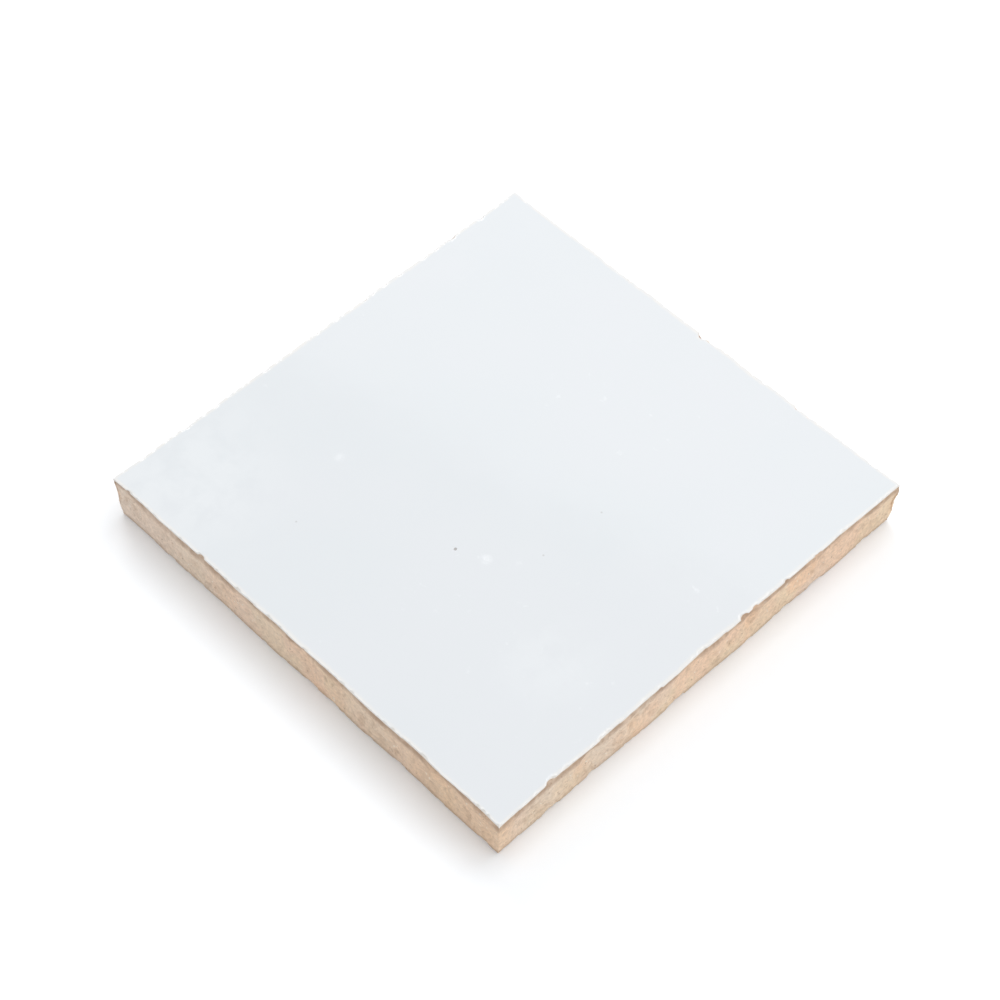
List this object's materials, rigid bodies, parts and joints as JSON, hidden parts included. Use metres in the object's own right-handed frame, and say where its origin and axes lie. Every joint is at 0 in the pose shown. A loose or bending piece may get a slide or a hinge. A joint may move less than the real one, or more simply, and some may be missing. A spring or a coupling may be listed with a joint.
{
  "type": "zellige tile",
  "caption": "Square hand-cut zellige tile with a glossy white glazed face, undercut chipped clay sides and a flat bare clay back.",
  "frame": {"origin": "centre of the flat back, on the plane that the tile lies on", "axes": "+Z out of the glazed face; X along the front-left side and Y along the front-right side, as the picture shows it"},
  "size_m": [0.1002, 0.1012, 0.011],
  "materials": {
    "glazed_clay": "glossy cool white glaze on the face; bare matt tan clay on the sides and back"
  },
  "bodies": {
    "root": {"zellige_tile": "glazed_clay"}
  },
  "joints": []
}
